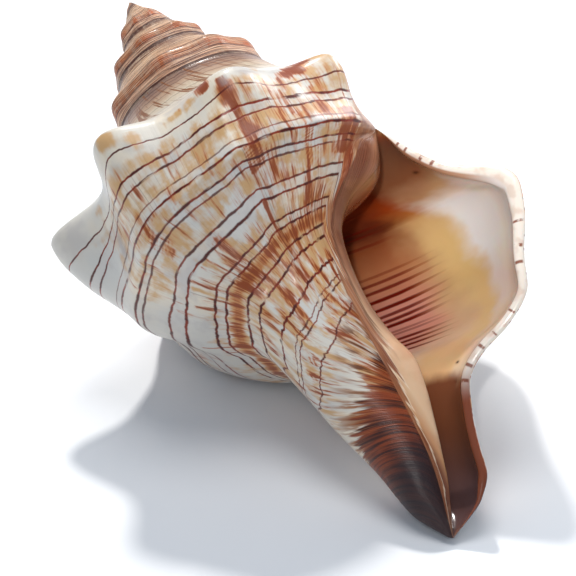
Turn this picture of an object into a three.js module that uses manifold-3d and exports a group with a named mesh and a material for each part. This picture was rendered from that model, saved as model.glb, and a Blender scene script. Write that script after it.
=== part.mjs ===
// A striped fox conch: one right-handed sea snail shell, lying on the floor with its opening up.
// The surface is swept whorl by whorl, from the apex to the lip, then folded round the lip into
// the hollow and back over the callus, so the shell is one closed skin.
import * as THREE from 'three';
import { mergeGeometries, mergeVertices } from 'three/addons/utils/BufferGeometryUtils.js';
import Module from 'manifold-3d';

const wasm = await Module();
wasm.setup();

// Lengths are in millimetres and angles in degrees. In the shell's own axes Z runs from the apex
// down to the tip of the canal. A turn counts whorls: the lip is at lipTurn, one turn after
// startTurn, and the angle round the axis falls by 360 with each turn.
const apexTurn = -3.03;
const startTurn = -0.03;
const lipTurn = 0.97;
const zeroAngle = 69;

// Driving sizes of the outline that one whorl draws, from its seam with the whorl above (at 0)
// over the shoulder (at 0.2) to the tip of the canal (at 1): distance r from the axis and drop z
// below the apex, for the start of the last whorl and for the lip. Between the two they grow with
// the given ease.
const outline = [
  { at: 0.00, start: { r: 15.2, z: 27.9 }, lip: { r: 27.5, z: 53.6 }, easeR: 1.0, easeZ: 1.0 },
  { at: 0.10, start: { r: 19.6, z: 35.2 }, lip: { r: 34.8, z: 67.4 }, easeR: 1.4, easeZ: 2.8 },
  { at: 0.20, start: { r: 24.6, z: 40.7 }, lip: { r: 43.0, z: 76.8 }, easeR: 1.5, easeZ: 3.0 },
  { at: 0.24, start: { r: 25.4, z: 43.5 }, lip: { r: 44.0, z: 79.4 }, easeR: 1.6, easeZ: 2.4 },
  { at: 0.30, start: { r: 26.0, z: 47.1 }, lip: { r: 42.7, z: 84.2 }, easeR: 1.65, easeZ: 1.8 },
  { at: 0.40, start: { r: 27.5, z: 53.6 }, lip: { r: 38.2, z: 92.5 }, easeR: 1.65, easeZ: 1.7 },
  { at: 0.47, start: { r: 24.5, z: 55.9 }, lip: { r: 35.5, z: 98.2 }, easeR: 1.6, easeZ: 1.6 },
  { at: 0.56, start: { r: 19.6, z: 60.4 }, lip: { r: 28.9, z: 102.0 }, easeR: 1.6, easeZ: 1.5 },
  { at: 0.64, start: { r: 14.2, z: 63.5 }, lip: { r: 22.4, z: 103.7 }, easeR: 1.6, easeZ: 1.4 },
  { at: 0.71, start: { r: 11.2, z: 67.3 }, lip: { r: 18.1, z: 106.0 }, easeR: 2.2, easeZ: 1.3 },
  { at: 0.80, start: { r: 9.4, z: 75.6 }, lip: { r: 14.3, z: 112.5 }, easeR: 3.0, easeZ: 1.0 },
  { at: 0.86, start: { r: 8.6, z: 82.1 }, lip: { r: 12.5, z: 118.2 }, easeR: 3.0, easeZ: 0.95 },
  { at: 0.92, start: { r: 6.3, z: 98.8 }, lip: { r: 11.4, z: 123.4 }, easeR: 3.0, easeZ: 0.9 },
  { at: 0.97, start: { r: 4.2, z: 115.0 }, lip: { r: 8.0, z: 127.4 }, easeR: 2.0, easeZ: 0.9 },
  { at: 1.00, start: { r: 0.2, z: 130.6 }, lip: { r: 0.2, z: 130.6 }, easeR: 1.0, easeZ: 1.0 },
];
const coveredFrom = 0.40;
const bodyBends = 0.87;

// The seam between whorls, by turn, and how fast the spire grows above the first of them.
const seam = [
  { turn: -2.03, r: 5.3, z: 9.5 },
  { turn: -1.60, r: 6.9, z: 10.6 },
  { turn: -1.03, r: 8.6, z: 16.5 },
  { turn: -0.60, r: 11.9, z: 17.5 },
  { turn: -0.03, r: 15.2, z: 27.9 },
  { turn: 0.15, r: 15.6, z: 27.7 },
  { turn: 0.40, r: 16.3, z: 27.0 },
  { turn: 0.70, r: 21.3, z: 39.0 },
  { turn: 0.97, r: 27.5, z: 53.6 },
];
const spireGrowth = 1.72;
const apexBluntness = 0.75;
// The first whorls run straight from seam to seam; later ones step out at their shoulder.
const straightUntil = -3.6;
const steppedFrom = -1.9;

// Knobs on the shoulder: angle round the axis, height, lift towards the apex, reach down the
// whorl as a share of the outline, and half width in degrees.
const knobs = [
  { angle: 118, height: 1.0, lift: 0.0, reach: 0.16, width: 15 },
  { angle: 64, height: 4.6, lift: 1.2, reach: 0.12, width: 10 },
  { angle: 14, height: 4.0, lift: 1.1, reach: 0.14, width: 14 },
  { angle: -36, height: 6.3, lift: 3.6, reach: 0.12, width: 13 },
  { angle: -84, height: 9.0, lift: 3.0, reach: 0.12, width: 12 },
  { angle: -145, height: 10.0, lift: 2.5, reach: 0.14, width: 14 },
  { angle: -192, height: 12.0, lift: 2.5, reach: 0.17, width: 15 },
  { angle: -236, height: 7.5, lift: 2.0, reach: 0.16, width: 15 },
  { angle: -278, height: 1.9, lift: 1.0, reach: 0.15, width: 15 },
];
const shoulderAt = 0.20;
const knobRise = 0.07;
// The spire's knobs: those of the whorl above the last one, then evenly spaced towards the apex.
const spireKnobAngles = [160, 205, 250, 297, 352, 395, 436];
const spireKnobSpacing = 45;
const spireKnobCount = 28;
const spireKnobWidth = 13;
const spireKnobReach = 0.15;
const spireKnobShare = 0.07;
// Hollows in the belly between the knob ridges: angle, place on the outline, depth and half widths.
const bellyHollows = [
  { angle: -110, at: 0.42, depth: 2.6, width: 16, span: 0.13 },
  { angle: -170, at: 0.42, depth: 2.2, width: 17, span: 0.14 },
];
// Ribs that run down the whorl from the knobs, and troughs of negative height between others:
// turn, height, half widths before and after in turns, and first and last place on the outline.
const ribs = [
  { turn: 0.085, height: 0.25, before: 0.012, after: 0.014, first: 0.24, last: 0.60 },
  { turn: 0.181, height: 1.5, before: 0.012, after: 0.040, first: 0.27, last: 0.74 },
  { turn: 0.312, height: 1.6, before: 0.040, after: 0.030, first: 0.27, last: 0.74 },
  { turn: 0.505, height: -1.3, before: 0.035, after: 0.040, first: 0.40, last: 0.74 },
  { turn: 0.660, height: -1.0, before: 0.035, after: 0.035, first: 0.27, last: 0.74 },
  { turn: 0.790, height: -1.0, before: 0.035, after: 0.035, first: 0.27, last: 0.74 },
  { turn: 0.905, height: -0.8, before: 0.025, after: 0.025, first: 0.27, last: 0.74 },
];
const ribFade = 0.08;

// The axis itself bends a little: sideways shift by drop below the apex.
const axisBend = [
  { z: 0, shift: -0.4 },
  { z: 7.6, shift: 0.2 },
  { z: 16, shift: 1.0 },
  { z: 27, shift: 1.5 },
  { z: 42, shift: 1.5 },
  { z: 57, shift: 1.0 },
  { z: 76, shift: 0.8 },
  { z: 95, shift: 1.5 },
  { z: 114, shift: 2.5 },
  { z: 126, shift: 2.1 },
  { z: 137, shift: 1.5 },
];

// The columella side of the opening, by the same share of the outline as the lip across from it.
const columella = [
  { at: 0.00, r: 27.5, z: 53.6 },
  { at: 0.10, r: 23.9, z: 60.8 },
  { at: 0.20, r: 16.5, z: 63.0 },
  { at: 0.30, r: 11.6, z: 68.0 },
  { at: 0.40, r: 9.8, z: 76.0 },
  { at: 0.47, r: 9.2, z: 83.5 },
  { at: 0.56, r: 9.9, z: 92.0 },
  { at: 0.64, r: 11.0, z: 97.5 },
  { at: 0.71, r: 9.5, z: 103.8 },
  { at: 0.80, r: 7.3, z: 110.2 },
  { at: 0.86, r: 5.4, z: 116.0 },
  { at: 0.92, r: 3.8, z: 121.0 },
  { at: 0.97, r: 1.6, z: 127.0 },
  { at: 1.00, r: 0.2, z: 130.6 },
];
const columellaGrowth = 1.417;
// How far back behind the lip the hollow reaches, in degrees.
const hollowReach = [
  { at: 0.00, back: 0 },
  { at: 0.04, back: 40 },
  { at: 0.10, back: 105 },
  { at: 0.18, back: 155 },
  { at: 0.30, back: 175 },
  { at: 0.50, back: 172 },
  { at: 0.60, back: 155 },
  { at: 0.71, back: 115 },
  { at: 0.80, back: 85 },
  { at: 0.86, back: 75 },
  { at: 0.92, back: 78 },
  { at: 0.97, back: 85 },
  { at: 1.00, back: 90 },
];
const rimThickness = 1.7;
const rimSwell = 0.45;
const wallThickness = 2.6;
const wallThickensOver = 50;
const ceilingDrop = 2.2;
const ceilingReach = 0.15;
const hollowRoundness = 0.45;
// The callus, the glaze over the belly beside the opening: its edge by angle, and its swell.
const callusEdge = [
  { at: 0.40, angle: 80 },
  { at: 0.43, angle: 76 },
  { at: 0.47, angle: 66 },
  { at: 0.52, angle: 60 },
  { at: 0.56, angle: 57 },
  { at: 0.64, angle: 54 },
  { at: 0.71, angle: 52 },
  { at: 0.80, angle: 52 },
  { at: 0.86, angle: 50 },
  { at: 1.00, angle: 50 },
];
const callusSwell = 0.9;
const callusFullest = 0.6;
// Shares of the outline, or of a turn, over which a thickness or a knob fades out at an edge.
const cornerFade = 0.05;
const edgeFade = 0.06;
const coverFade = 0.08;
const seamFade = 0.25;

// How the shell lies: the dip of its axis, the angle round the axis that faces up, and how much
// of the three points it rests on is worn flat.
const axisDip = 27.5;
const angleUp = 26.6;
const wornFlat = 0.4;
const floorDepth = 10;

// Mesh steps: rows per whorl, columns over the three stretches of the outline, and rows over
// the lip, the hollow and the callus.
const rowsPerTurn = 45;
const upperColumns = 8;
const middleColumns = 9;
const canalColumns = 12;
const lipRows = 3;
const hollowRows = 14;
const callusRows = 3;
const columnCount = upperColumns + middleColumns + canalColumns;
const slopeStep = 0.001;

function slopeAt(xs, ys, i) {
  const before = (ys[i] - ys[i - 1]) / (xs[i] - xs[i - 1]);
  const after = (ys[i + 1] - ys[i]) / (xs[i + 1] - xs[i]);
  if (i === 0) return after;
  if (i === xs.length - 1) return before;
  if (before * after <= 0) return 0;
  const towardsBefore = 2 * (xs[i + 1] - xs[i]) + (xs[i] - xs[i - 1]);
  const towardsAfter = (xs[i + 1] - xs[i]) + 2 * (xs[i] - xs[i - 1]);
  return (towardsBefore + towardsAfter) / (towardsBefore / before + towardsAfter / after);
}

// A smooth curve through stations that never overshoots them.
function curveAt(xs, ys, x) {
  const inside = THREE.MathUtils.clamp(x, xs[0], xs[xs.length - 1]);
  let i = 0;
  while (i < xs.length - 2 && inside >= xs[i + 1]) i += 1;
  const step = xs[i + 1] - xs[i];
  const s = (inside - xs[i]) / step;
  const rise = slopeAt(xs, ys, i) * step * s * (1 - s) * (1 - s);
  const fall = slopeAt(xs, ys, i + 1) * step * s * s * (s - 1);
  return ys[i] * (1 + 2 * s) * (1 - s) * (1 - s) + ys[i + 1] * s * s * (3 - 2 * s) + rise + fall;
}

function stationCurve(stations, key, value) {
  const xs = stations.map((station) => station[key]);
  const ys = stations.map((station) => station[value]);
  return (x) => curveAt(xs, ys, x);
}

const outlineAt = outline.map((station) => station.at);
const startRadius = outline.map((station) => station.start.r);
const startDrop = outline.map((station) => station.start.z);
const covered = outline.find((station) => station.at === coveredFrom).start;
const first = outline[0].start;
const axisShift = stationCurve(axisBend, 'z', 'shift');
const columellaRadius = stationCurve(columella, 'at', 'r');
const columellaDrop = stationCurve(columella, 'at', 'z');
const hollowBack = stationCurve(hollowReach, 'at', 'back');
const callusAngle = stationCurve(callusEdge, 'at', 'angle');
const logSeam = seam.map(({ turn, r, z }) => ({ turn, r: Math.log(r), z: Math.log(z) }));
const logSeamRadius = stationCurve(logSeam, 'turn', 'r');
const logSeamDrop = stationCurve(logSeam, 'turn', 'z');

function ease(x) {
  return THREE.MathUtils.smoothstep(x, 0, 1);
}

function bell(distance, width) {
  return Math.exp(-((distance / width) ** 2));
}

function angleOf(turn) {
  return zeroAngle - 360 * turn;
}

function place(r, z, angle) {
  const a = THREE.MathUtils.degToRad(angle);
  return new THREE.Vector3(r * Math.sin(a) + axisShift(z), r * Math.cos(a), z);
}

function seamPoint(turn) {
  const known = seam[0].turn;
  const atApex = spireGrowth ** (apexTurn - known);
  const here = spireGrowth ** (Math.min(turn, known) - known);
  const share = Math.max((here - atApex) / (1 - atApex), 0);
  return {
    r: Math.exp(logSeamRadius(turn)) * share ** apexBluntness,
    z: Math.exp(logSeamDrop(turn)) * share,
  };
}

function grow(from, to, share, power) {
  return from * (to / from) ** (share ** power);
}

function bodyOutline(turn, at) {
  const share = THREE.MathUtils.clamp(turn - startTurn, 0, 1);
  const edge = seamPoint(turn);
  const radii = outline.map(({ start, lip, easeR }) => grow(start.r, lip.r, share, easeR));
  const drops = outline.map(({ start, lip, easeZ }) => grow(start.z, lip.z, share, easeZ));
  radii[0] = edge.r;
  drops[0] = edge.z;
  return { r: curveAt(outlineAt, radii, at), z: curveAt(outlineAt, drops, at) };
}

// On the spire the next whorl covers all below the seam, so the outline runs from seam to seam.
function spireOutline(turn, at) {
  const top = seamPoint(turn);
  const bottom = seamPoint(turn + 1);
  const stepOut = (curveAt(outlineAt, startRadius, at) - first.r) / (covered.r - first.r);
  const stepDown = (curveAt(outlineAt, startDrop, at) - first.z) / (covered.z - first.z);
  const stepped = ease((turn - straightUntil) / (steppedFrom - straightUntil));
  const outShare = THREE.MathUtils.lerp(at / coveredFrom, stepOut, stepped);
  const downShare = THREE.MathUtils.lerp(at / coveredFrom, stepDown, stepped);
  return { r: top.r + (bottom.r - top.r) * outShare, z: top.z + (bottom.z - top.z) * downShare };
}

const upperKnobAngles = Array.from({ length: spireKnobCount }, (_, i) => {
  const known = spireKnobAngles.length - 1;
  return i <= known ? spireKnobAngles[i] : spireKnobAngles[known] + spireKnobSpacing * (i - known);
});

function knobShape(at, reach) {
  return bell(at - shoulderAt, at < shoulderAt ? knobRise : reach);
}

function ribHeight(turn, at) {
  let out = 0;
  for (const { turn: middle, height, before, after, first: start, last } of ribs) {
    const fade = ease((at - start) / ribFade + 0.5) * ease((last - at) / ribFade + 0.5);
    out += height * bell(turn - middle, turn < middle ? before : after) * fade;
  }
  return out;
}

function knobRelief(turn, at) {
  const angle = angleOf(turn);
  const relief = { out: 0, up: 0 };
  for (const { angle: middle, height, lift, reach, width } of knobs) {
    const near = bell(angle - middle, width);
    relief.out += height * near * knobShape(at, reach);
    relief.up += lift * near * bell(at - shoulderAt, knobRise);
  }
  const spireHeight = spireKnobShare * seamPoint(turn + 1).r;
  for (const middle of upperKnobAngles) {
    const near = bell(angle - middle, spireKnobWidth);
    relief.out += spireHeight * near * knobShape(at, spireKnobReach);
  }
  for (const { angle: middle, at: level, depth, width, span } of bellyHollows) {
    relief.out -= depth * bell(angle - middle, width) * bell(at - level, span);
  }
  relief.out += ribHeight(turn, at);
  return relief;
}

function exteriorPoint(turn, at) {
  const onSpire = turn < startTurn;
  const { r, z } = onSpire ? spireOutline(turn, at) : bodyOutline(turn, at);
  const relief = knobRelief(turn, at);
  const pastCorner = onSpire ? 0 : THREE.MathUtils.clamp((turn - startTurn) / cornerFade, 0, 1);
  const awayFromCover = ease((coveredFrom - at) / coverFade) * (1 - pastCorner) + pastCorner;
  const awayFromSeam = ease(at / cornerFade);
  const out = relief.out * awayFromSeam * awayFromCover;
  return { r: r + out, z: z - relief.up * awayFromSeam };
}

function exterior(turn, at) {
  const { r, z } = exteriorPoint(turn, at);
  return place(r, z, angleOf(turn));
}

// The body's outline moved inwards, along its own normal.
function insideWall(turn, at, thickness) {
  const above = bodyOutline(turn, Math.max(at - slopeStep, 0));
  const below = bodyOutline(turn, Math.min(at + slopeStep, 1));
  const length = Math.hypot(below.r - above.r, below.z - above.z);
  const { r, z } = bodyOutline(turn, at);
  return {
    r: r - ((below.z - above.z) / length) * thickness,
    z: z + ((below.r - above.r) / length) * thickness,
  };
}

function columellaWall(turn, at) {
  const scale = columellaGrowth ** (turn - lipTurn);
  const edge = seamPoint(turn);
  const nearSeam = Math.max(1 - at / seamFade, 0) ** 2;
  return {
    r: columellaRadius(at) * scale + (edge.r - columella[0].r * scale) * nearSeam,
    z: columellaDrop(at) * scale + (edge.z - columella[0].z * scale) * nearSeam,
  };
}

function rimAt(at) {
  return rimThickness * ease(at / edgeFade) * ease((1 - at) / edgeFade);
}

// The rounded lip, share 0 outside and 1 inside.
function lip(at, share) {
  const outer = exteriorPoint(lipTurn, at);
  const inner = insideWall(lipTurn, at, rimAt(at));
  const turnIn = (1 - Math.cos(Math.PI * share)) / 2;
  const r = outer.r + (inner.r - outer.r) * turnIn;
  const z = outer.z + (inner.z - outer.z) * turnIn;
  const a = THREE.MathUtils.degToRad(angleOf(lipTurn));
  const forward = new THREE.Vector3(-Math.cos(a), Math.sin(a), 0);
  const swell = rimSwell * rimAt(at) * Math.sin(Math.PI * share);
  return place(r, z, angleOf(lipTurn)).addScaledVector(forward, swell);
}

// The hollow, share 0 at the lip and 1 at the columella, with its far end half way.
function hollow(at, share) {
  const turned = Math.sin(Math.PI * share) * hollowBack(at);
  const turn = lipTurn - turned / 360;
  const depth = ease(turned / wallThickensOver);
  const thickness = rimAt(at) * (1 - depth) + wallThickness * depth * ease((1 - at) / edgeFade);
  const outer = insideWall(turn, at, thickness);
  const inner = columellaWall(turn, at);
  const across = Math.cos(Math.PI * share);
  const outShare = (1 + Math.sign(across) * Math.abs(across) ** hollowRoundness) / 2;
  const drop = ceilingDrop * depth * Math.max(1 - at / ceilingReach, 0);
  const r = inner.r + (outer.r - inner.r) * outShare;
  const z = inner.z + (outer.z - inner.z) * outShare + drop;
  return place(r, z, angleOf(turn));
}

// Where the body whorl comes out from under the callus.
function callusTurn(at) {
  return (zeroAngle - callusAngle(at)) / 360;
}

// The callus, share 0 at the columella and 1 at its edge on the body whorl.
function callus(at, bodyAt, share) {
  const inner = columellaWall(lipTurn, at);
  const turn = callusTurn(bodyAt);
  const outer = exteriorPoint(turn, bodyAt);
  const fade = ease(at / coverFade) * ease((1 - at) / coverFade);
  const swell = callusSwell * Math.sin(Math.PI * share ** callusFullest) * fade;
  const lipAngle = angleOf(lipTurn) + 360;
  return place(
    inner.r + (outer.r - inner.r) * share + swell,
    inner.z + (outer.z - inner.z) * share,
    lipAngle + (angleOf(turn) - lipAngle) * share,
  );
}

function evenly(from, to, count) {
  return Array.from({ length: count }, (_, i) => from + ((to - from) * i) / count);
}

const columns = [
  ...evenly(0, coveredFrom, upperColumns),
  ...evenly(coveredFrom, bodyBends, middleColumns),
  ...evenly(bodyBends, 1, canalColumns),
  1,
];

function spireRows() {
  const firstTurn = apexTurn - 1;
  const rowCount = Math.round((startTurn - firstTurn) * rowsPerTurn);
  const rows = [];
  for (let i = 0; i <= rowCount; i += 1) {
    const turn = firstTurn + i / rowsPerTurn;
    rows.push(columns.slice(0, upperColumns + 1).map((at) => exterior(turn, at)));
  }
  for (let i = rowsPerTurn; i < rows.length; i += 1) {
    rows[i][0] = rows[i - rowsPerTurn][upperColumns];
  }
  return rows;
}

function bodyRows(spire) {
  const rows = [];
  const tip = exterior(startTurn, 1);
  for (let i = 0; i <= rowsPerTurn; i += 1) {
    const row = columns.map((at, j) => {
      const from = j <= upperColumns ? startTurn : callusTurn(at);
      return exterior(from + ((lipTurn - from) * i) / rowsPerTurn, at);
    });
    row[0] = spire[spire.length - 1 - rowsPerTurn + i][upperColumns];
    row[columnCount] = tip;
    rows.push(row);
  }
  const corner = spire[spire.length - 1][upperColumns];
  rows[rowsPerTurn][0] = corner;
  rows[0].splice(0, upperColumns + 1, ...spire[spire.length - 1]);
  return rows;
}

// Which column of the body meets each column of the opening along the callus edge.
function meetingColumn(j) {
  if (j <= middleColumns) return upperColumns + j;
  const left = columnCount - upperColumns - middleColumns;
  return upperColumns + middleColumns + ((j - middleColumns) * left) / (columnCount - middleColumns);
}

function openingRows(body) {
  const corner = body[0][upperColumns];
  const tip = body[0][columnCount];
  const rows = [body[rowsPerTurn].slice()];
  for (let i = 1; i <= lipRows; i += 1) {
    rows.push(columns.map((at) => lip(at, i / lipRows)));
  }
  for (let i = 1; i <= hollowRows; i += 1) {
    rows.push(columns.map((at) => hollow(at, i / hollowRows)));
  }
  for (let i = 1; i < callusRows; i += 1) {
    rows.push(columns.map((at, j) => {
      const meeting = meetingColumn(j);
      const below = Math.floor(meeting);
      const above = Math.min(below + 1, columnCount);
      const bodyAt = THREE.MathUtils.lerp(columns[below], columns[above], meeting - below);
      return callus(at, bodyAt, i / callusRows);
    }));
  }
  rows.push(columns.map((_, j) => body[0][Math.round(meetingColumn(j))]));
  for (const row of rows) {
    row[0] = corner;
    row[columnCount] = tip;
  }
  return rows;
}

// A grid of points as a surface, with its rows running down the plane it is made from.
function sheet(rows) {
  const plane = new THREE.PlaneGeometry(1, 1, rows[0].length - 1, rows.length - 1);
  plane.deleteAttribute('normal');
  plane.deleteAttribute('uv');
  const position = plane.getAttribute('position');
  rows.flat().forEach(({ x, y, z }, i) => position.setXYZ(i, x, y, z));
  return plane;
}

function withoutSlivers(geometry) {
  const corners = Array.from(geometry.index.array);
  const kept = [];
  for (let i = 0; i < corners.length; i += 3) {
    const [a, b, c] = corners.slice(i, i + 3);
    if (a !== b && b !== c && c !== a) kept.push(a, b, c);
  }
  geometry.setIndex(kept);
  return geometry;
}

function toSolid(geometry) {
  const bare = geometry.clone();
  if (bare.hasAttribute('normal')) bare.deleteAttribute('normal');
  if (bare.hasAttribute('uv')) bare.deleteAttribute('uv');
  const merged = withoutSlivers(mergeVertices(bare));
  return new wasm.Manifold(new wasm.Mesh({
    numProp: 3,
    vertProperties: Float32Array.from(merged.getAttribute('position').array),
    triVerts: Uint32Array.from(merged.index.array),
  }));
}

function toGeometry(solid) {
  const { vertProperties, triVerts } = solid.getMesh();
  const geometry = new THREE.BufferGeometry();
  geometry.setAttribute('position', new THREE.BufferAttribute(vertProperties, 3));
  geometry.setIndex(new THREE.BufferAttribute(triVerts, 1));
  return geometry;
}

// From the shell's own axes to the floor: the apex points along +Y and the canal dips down.
function restingTurn() {
  const dip = THREE.MathUtils.degToRad(axisDip);
  const up = THREE.MathUtils.degToRad(angleUp);
  const level = Math.cos(dip);
  const zAxis = new THREE.Vector3(level * Math.sin(up), level * Math.cos(up), -Math.sin(dip));
  const towardsApex = new THREE.Vector3(0, 0, -1);
  const yAxis = towardsApex.addScaledVector(zAxis, -towardsApex.dot(zAxis)).normalize();
  const xAxis = new THREE.Vector3().crossVectors(yAxis, zAxis);
  return new THREE.Matrix4().makeBasis(xAxis, yAxis, zAxis).transpose();
}

function shellSkin() {
  const spire = spireRows();
  const body = bodyRows(spire);
  const skin = mergeGeometries([sheet(spire), sheet(body), sheet(openingRows(body))]);
  skin.applyMatrix4(restingTurn());
  return skin;
}

function wornOnFloor(skin) {
  skin.computeBoundingBox();
  const { min, max } = skin.boundingBox;
  const floor = new THREE.BoxGeometry(2 * (max.x - min.x), 2 * (max.y - min.y), floorDepth);
  floor.translate((min.x + max.x) / 2, (min.y + max.y) / 2, min.z + wornFlat - floorDepth / 2);
  return toGeometry(toSolid(skin).subtract(toSolid(floor)));
}

function standOnOrigin(geometry) {
  geometry.computeBoundingBox();
  const { min, max } = geometry.boundingBox;
  geometry.translate(-(min.x + max.x) / 2, -(min.y + max.y) / 2, -min.z);
  return geometry;
}

function makeShell() {
  const geometry = standOnOrigin(wornOnFloor(shellSkin()));
  geometry.computeVertexNormals();
  const material = new THREE.MeshStandardMaterial({ color: 0xe3d8c8, roughness: 0.35, metalness: 0 });
  const shell = new THREE.Mesh(geometry, material);
  shell.name = 'shell';
  return shell;
}

const conch = new THREE.Group();
conch.add(makeShell());

export default conch;
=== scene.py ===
import math

import bmesh
import bpy
import numpy as np
from mathutils import Matrix, Vector


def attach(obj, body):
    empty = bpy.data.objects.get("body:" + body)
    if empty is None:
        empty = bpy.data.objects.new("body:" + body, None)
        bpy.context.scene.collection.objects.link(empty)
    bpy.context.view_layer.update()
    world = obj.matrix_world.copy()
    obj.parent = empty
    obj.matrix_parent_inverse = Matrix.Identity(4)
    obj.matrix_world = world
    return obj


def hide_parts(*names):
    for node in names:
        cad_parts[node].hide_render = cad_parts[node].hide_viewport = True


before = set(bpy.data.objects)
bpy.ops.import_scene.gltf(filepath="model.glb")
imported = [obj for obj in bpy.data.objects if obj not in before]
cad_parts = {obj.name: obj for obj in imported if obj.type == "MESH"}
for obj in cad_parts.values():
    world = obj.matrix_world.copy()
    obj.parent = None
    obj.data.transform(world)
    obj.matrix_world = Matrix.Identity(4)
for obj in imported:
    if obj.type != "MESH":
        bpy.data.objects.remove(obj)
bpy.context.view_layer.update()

# Lengths in millimetres, angles in degrees. z runs from the apex down to the canal's tip.
# A turn counts whorls (the lip is at 0.97), and "at" runs across a whorl, 0 at the seam
# with the whorl above, 0.2 on the shoulder and 1 at the tip of the canal.
shellForm = {
    "apexTurn": -3.03,
    "startTurn": -0.03,
    "lipTurn": 0.97,
    "zeroAngle": 69,
    # at, then radius and drop at the start of the last whorl, the same at the lip, and how
    # each grows between them
    "outline": [
        (0.00, 15.2, 27.9, 27.5, 53.6, 1.0, 1.0),
        (0.10, 19.6, 35.2, 34.8, 67.4, 1.4, 2.8),
        (0.20, 24.6, 40.7, 43.0, 76.8, 1.5, 3.0),
        (0.24, 25.4, 43.5, 44.0, 79.4, 1.6, 2.4),
        (0.30, 26.0, 47.1, 42.7, 84.2, 1.65, 1.8),
        (0.40, 27.5, 53.6, 38.2, 92.5, 1.65, 1.7),
        (0.47, 24.5, 55.9, 35.5, 98.2, 1.6, 1.6),
        (0.56, 19.6, 60.4, 28.9, 102.0, 1.6, 1.5),
        (0.64, 14.2, 63.5, 22.4, 103.7, 1.6, 1.4),
        (0.71, 11.2, 67.3, 18.1, 106.0, 2.2, 1.3),
        (0.80, 9.4, 75.6, 14.3, 112.5, 3.0, 1.0),
        (0.86, 8.6, 82.1, 12.5, 118.2, 3.0, 0.95),
        (0.92, 6.3, 98.8, 11.4, 123.4, 3.0, 0.9),
        (0.97, 4.2, 115.0, 8.0, 127.4, 2.0, 0.9),
        (1.00, 0.2, 130.6, 0.2, 130.6, 1.0, 1.0),
    ],
    "coveredFrom": 0.40,
    "bodyBends": 0.87,
    # turn, radius and drop of the seam
    "seam": [
        (-2.03, 5.3, 9.5),
        (-1.60, 6.9, 10.6),
        (-1.03, 8.6, 16.5),
        (-0.60, 11.9, 17.5),
        (-0.03, 15.2, 27.9),
        (0.15, 15.6, 27.7),
        (0.40, 16.3, 27.0),
        (0.70, 21.3, 39.0),
        (0.97, 27.5, 53.6),
    ],
    "spireGrowth": 1.72,
    "apexBluntness": 0.75,
    "firstSteps": (-3.6, -1.9),
    # angle, height, lift, reach down the whorl and half width of each knob
    "knobs": [
        (118, 1.0, 0.0, 0.16, 15),
        (64, 4.6, 1.2, 0.12, 10),
        (14, 4.0, 1.1, 0.14, 14),
        (-36, 6.3, 3.6, 0.12, 13),
        (-84, 9.0, 3.0, 0.12, 12),
        (-145, 10.0, 2.5, 0.14, 14),
        (-192, 12.0, 2.5, 0.17, 15),
        (-236, 7.5, 2.0, 0.16, 15),
        (-278, 1.9, 1.0, 0.15, 15),
    ],
    "shoulderAt": 0.20,
    "knobRise": 0.07,
    "spireKnobAngles": [160, 205, 250, 297, 352, 395, 436],
    "spireKnobSpacing": 45,
    "spireKnobCount": 28,
    "spireKnobWidth": 13,
    "spireKnobReach": 0.15,
    "spireKnobShare": 0.07,
    # angle, at, depth, half width and half span of each hollow in the belly
    "bellyHollows": [(-110, 0.42, 2.6, 16, 0.13), (-170, 0.42, 2.2, 17, 0.14)],
    # turn, height, half width before and after, first and last at of each rib
    "ribs": [
        (0.085, 0.25, 0.012, 0.014, 0.24, 0.60),
        (0.181, 1.5, 0.012, 0.040, 0.27, 0.74),
        (0.312, 1.6, 0.040, 0.030, 0.27, 0.74),
        (0.505, -1.3, 0.035, 0.040, 0.40, 0.74),
        (0.660, -1.0, 0.035, 0.035, 0.27, 0.74),
        (0.790, -1.0, 0.035, 0.035, 0.27, 0.74),
        (0.905, -0.8, 0.025, 0.025, 0.27, 0.74),
    ],
    "ribFade": 0.08,
    # drop and sideways shift of the axis
    "axisBend": [
        (0, -0.4), (7.6, 0.2), (16, 1.0), (27, 1.5), (42, 1.5), (57, 1.0),
        (76, 0.8), (95, 1.5), (114, 2.5), (126, 2.1), (137, 1.5),
    ],
}

openingForm = {
    # at, radius and drop of the columella side of the opening
    "columella": [
        (0.00, 27.5, 53.6), (0.10, 23.9, 60.8), (0.20, 16.5, 63.0), (0.30, 11.6, 68.0),
        (0.40, 9.8, 76.0), (0.47, 9.2, 83.5), (0.56, 9.9, 92.0), (0.64, 11.0, 97.5),
        (0.71, 9.5, 103.8), (0.80, 7.3, 110.2), (0.86, 5.4, 116.0), (0.92, 3.8, 121.0),
        (0.97, 1.6, 127.0), (1.00, 0.2, 130.6),
    ],
    "columellaGrowth": 1.417,
    # at, and how many degrees the hollow reaches back behind the lip
    "reach": [
        (0.00, 0), (0.04, 40), (0.10, 105), (0.18, 155), (0.30, 175), (0.50, 172),
        (0.60, 155), (0.71, 115), (0.80, 85), (0.86, 75), (0.92, 78), (0.97, 85), (1.00, 90),
    ],
    "rimThickness": 1.7,
    "rimSwell": 0.45,
    "wallThickness": 2.6,
    "wallThickensOver": 50,
    "ceilingDrop": 2.2,
    "ceilingReach": 0.15,
    "roundness": 0.45,
    # at, and the angle of the callus edge on the last whorl
    "callusEdge": [
        (0.40, 80), (0.43, 76), (0.47, 66), (0.52, 60), (0.56, 57), (0.64, 54),
        (0.71, 52), (0.80, 52), (0.86, 50), (1.00, 50),
    ],
    "callusSwell": 0.9,
    "callusFullest": 0.6,
    "cornerFade": 0.05,
    "edgeFade": 0.06,
    "coverFade": 0.08,
    "seamFade": 0.25,
}

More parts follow.
